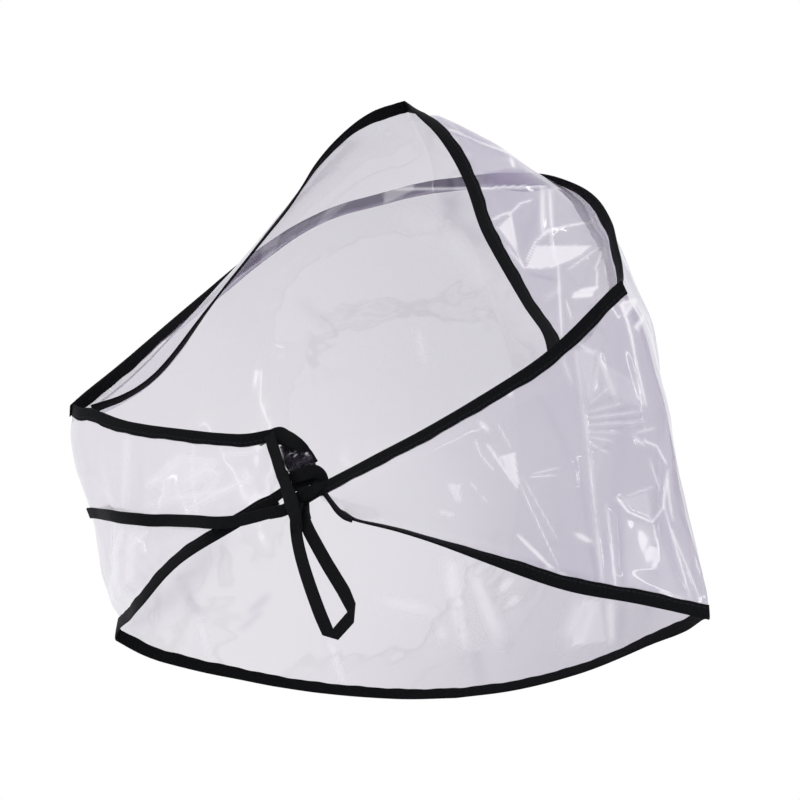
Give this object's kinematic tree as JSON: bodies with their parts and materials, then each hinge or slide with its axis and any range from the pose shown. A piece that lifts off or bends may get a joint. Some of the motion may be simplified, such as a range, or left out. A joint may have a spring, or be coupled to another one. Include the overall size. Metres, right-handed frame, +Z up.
{
  "type": "rain bonnet",
  "caption": "Clear film rain bonnet with a pointed visor, black bound edges, and a tie knotted under the chin with a loop and a tail.",
  "frame": {"origin": "seat on the crown of the head, in the middle of the bonnet just behind the crown seam", "axes": "+Z up along the head, -Y the way the face looks, +X the wearer's left, which is the picture's right"},
  "size_m": [0.34, 0.1961, 0.327],
  "materials": {
    "clear_film": "gloss",
    "black_tape": "matte"
  },
  "bodies": {
    "root": {"hood_film": "clear_film", "visor_film": "clear_film", "visor_binding": "black_tape", "crown_binding": "black_tape", "right_face_binding": "black_tape", "left_face_binding": "black_tape", "hem_binding": "black_tape", "chin_knot": "black_tape", "left_tie": "black_tape", "tie_tail": "black_tape", "tie_loop": "black_tape"}
  },
  "joints": []
}
